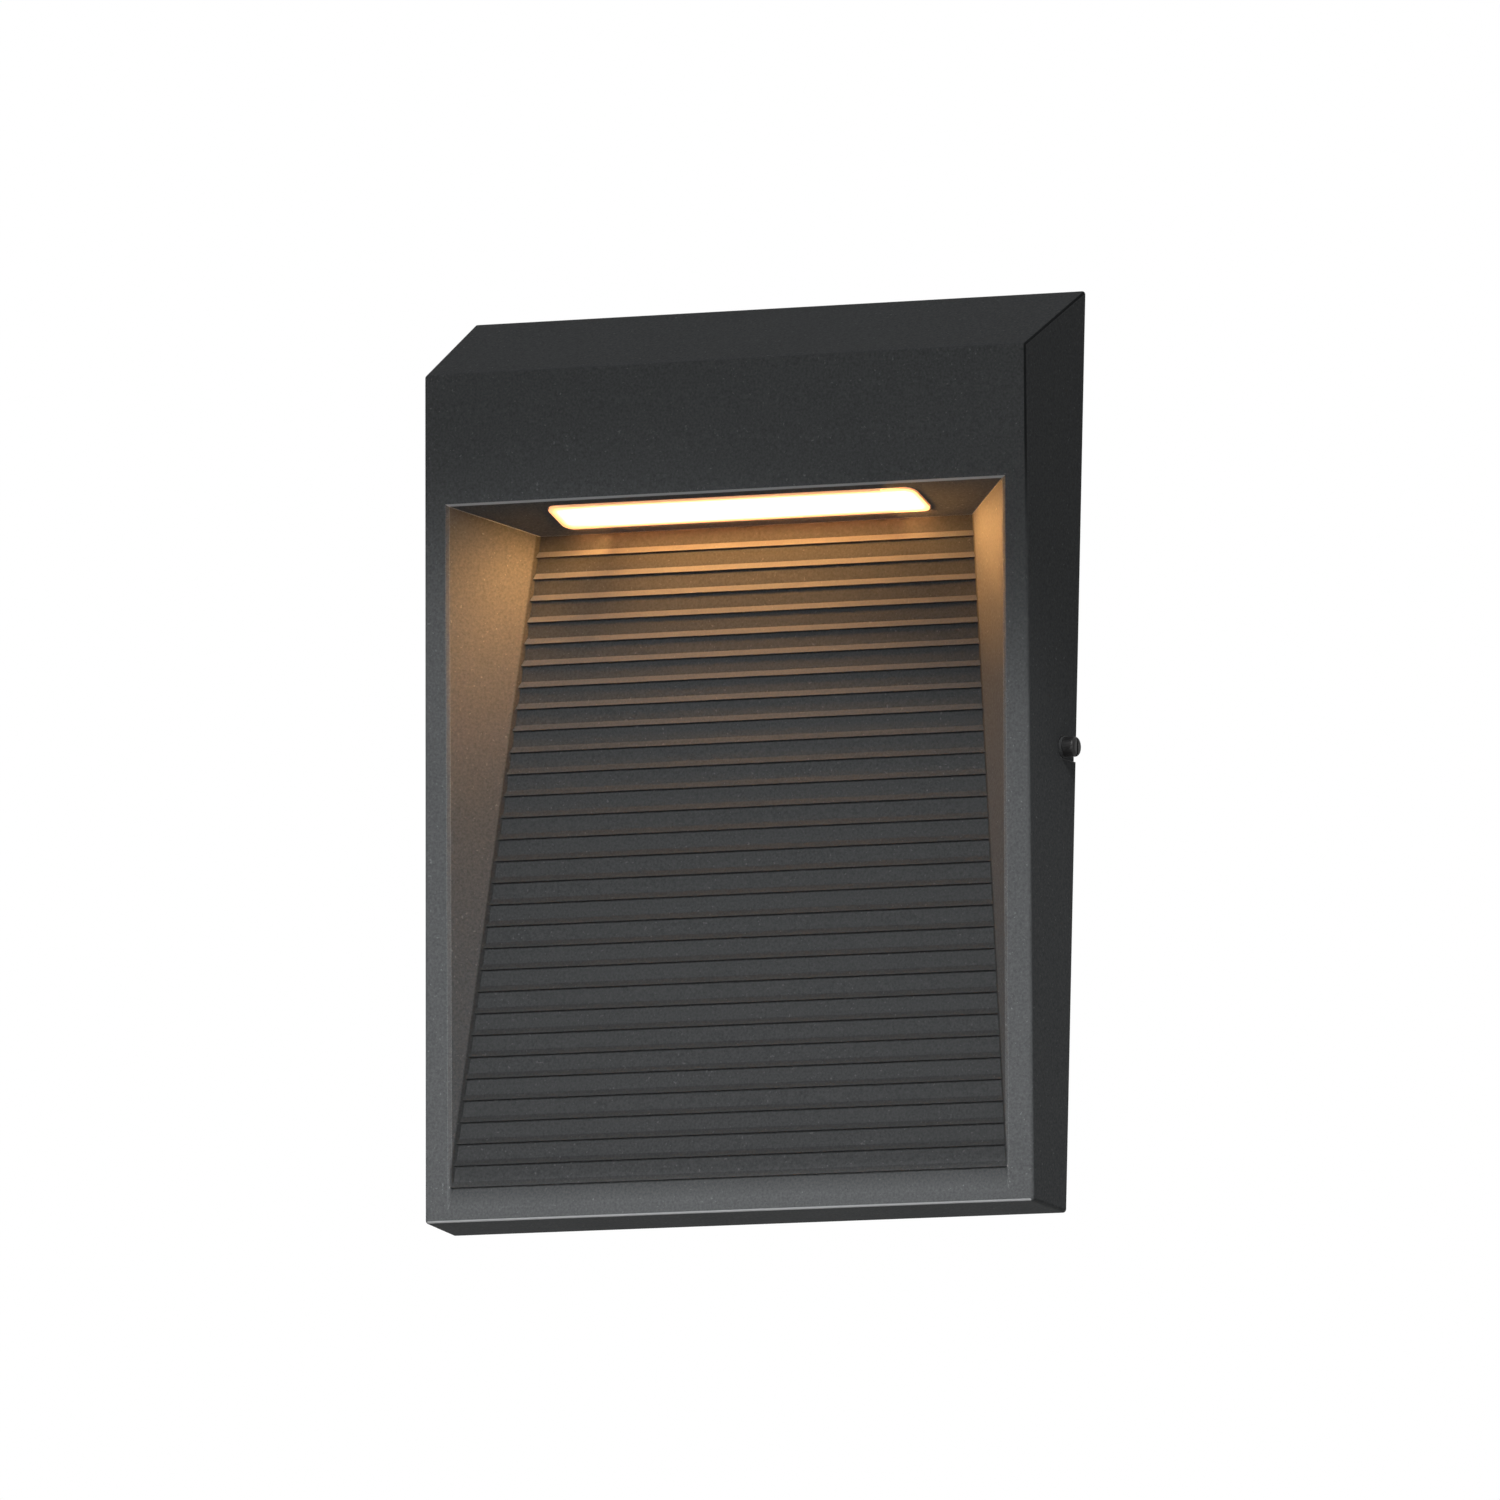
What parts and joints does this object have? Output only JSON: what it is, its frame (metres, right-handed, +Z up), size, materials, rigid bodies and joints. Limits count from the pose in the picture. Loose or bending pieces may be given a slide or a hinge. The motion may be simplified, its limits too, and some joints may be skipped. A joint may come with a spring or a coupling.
{
  "type": "outdoor wall light",
  "caption": "Wedge-shaped outdoor wall light: cast housing with a ribbed recess lit by a ceiling light bar, on a steel wall bracket held by side screws.",
  "frame": {"origin": "middle of the wall bracket's slot pattern, in the wall plane, which is also the middle of the housing's back outline", "axes": "+Z up along the wall, +Y into the wall, so the lit front faces -Y, +X to the right seen from the front"},
  "size_m": [0.1954, 0.0332, 0.254],
  "materials": {
    "powder_coat": "matte",
    "black_screw": "satin",
    "black_rubber": "matte",
    "grey_foam": "matte",
    "diffuser": "satin",
    "zinc_steel": "satin",
    "bare_aluminium": "satin",
    "thermal_grey": "matte",
    "white_mask": "satin",
    "phosphor": "gloss",
    "white_nylon": "matte",
    "red_wire": "gloss",
    "black_wire": "gloss",
    "driver_plastic": "matte",
    "circuit_green": "satin",
    "ferrite": "matte",
    "capacitor_sleeve": "gloss",
    "green_screw": "satin",
    "brass_washer": "satin"
  },
  "bodies": {
    "bracket": {"wall_bracket": "zinc_steel", "wall_gasket": "grey_foam", "bracket_nuts": "zinc_steel", "ground_screw": "green_screw", "ground_washer": "brass_washer"},
    "housing": {"housing": "powder_coat", "diffuser_lens": "diffuser", "lens_gasket": "black_rubber", "led_carrier": "bare_aluminium", "carrier_screws": "zinc_steel", "thermal_pad": "thermal_grey", "led_board": "white_mask", "led_chips": "phosphor", "led_board_screws": "zinc_steel", "led_connector": "white_nylon", "led_lead_positive": "red_wire", "led_lead_negative": "black_wire", "driver_case": "driver_plastic", "driver_lid": "driver_plastic", "driver_board": "circuit_green", "driver_transformer": "ferrite", "driver_capacitors": "capacitor_sleeve", "driver_terminals": "white_nylon", "driver_screws": "zinc_steel", "back_cover": "bare_aluminium", "cover_gasket": "black_rubber", "cover_screws": "zinc_steel", "inlet_grommet": "black_rubber"},
    "left_washer": {"left_seal_washer": "black_rubber"},
    "left_screw": {"left_side_screw": "black_screw"},
    "right_washer": {"right_seal_washer": "black_rubber"},
    "right_screw": {"right_side_screw": "black_screw"}
  },
  "joints": [
    {"name": "housing_pull", "type": "slide", "parent": "bracket", "child": "housing", "axis": [0, -1, 0], "range_m": [0, 0.03]},
    {"name": "left_washer_shift", "type": "slide", "parent": "bracket", "child": "left_washer", "axis": [-1, 0, 0], "range_m": [0, 0.003]},
    {"name": "left_screw_turn", "type": "hinge", "parent": "left_washer", "child": "left_screw", "pos_m": [-0.094, -0.007, 0], "axis": [-1, 0, 0], "range_deg": [0, 2165]},
    {"name": "right_washer_shift", "type": "slide", "parent": "bracket", "child": "right_washer", "axis": [1, 0, 0], "range_m": [0, 0.003]},
    {"name": "right_screw_turn", "type": "hinge", "parent": "right_washer", "child": "right_screw", "pos_m": [0.094, -0.007, 0], "axis": [1, 0, 0], "range_deg": [0, 2165]}
  ],
  "couplings": [
    {"joint": "left_screw_turn", "follows": "left_washer_shift", "rad_per_m": 12566},
    {"joint": "right_screw_turn", "follows": "right_washer_shift", "rad_per_m": 12566}
  ]
}
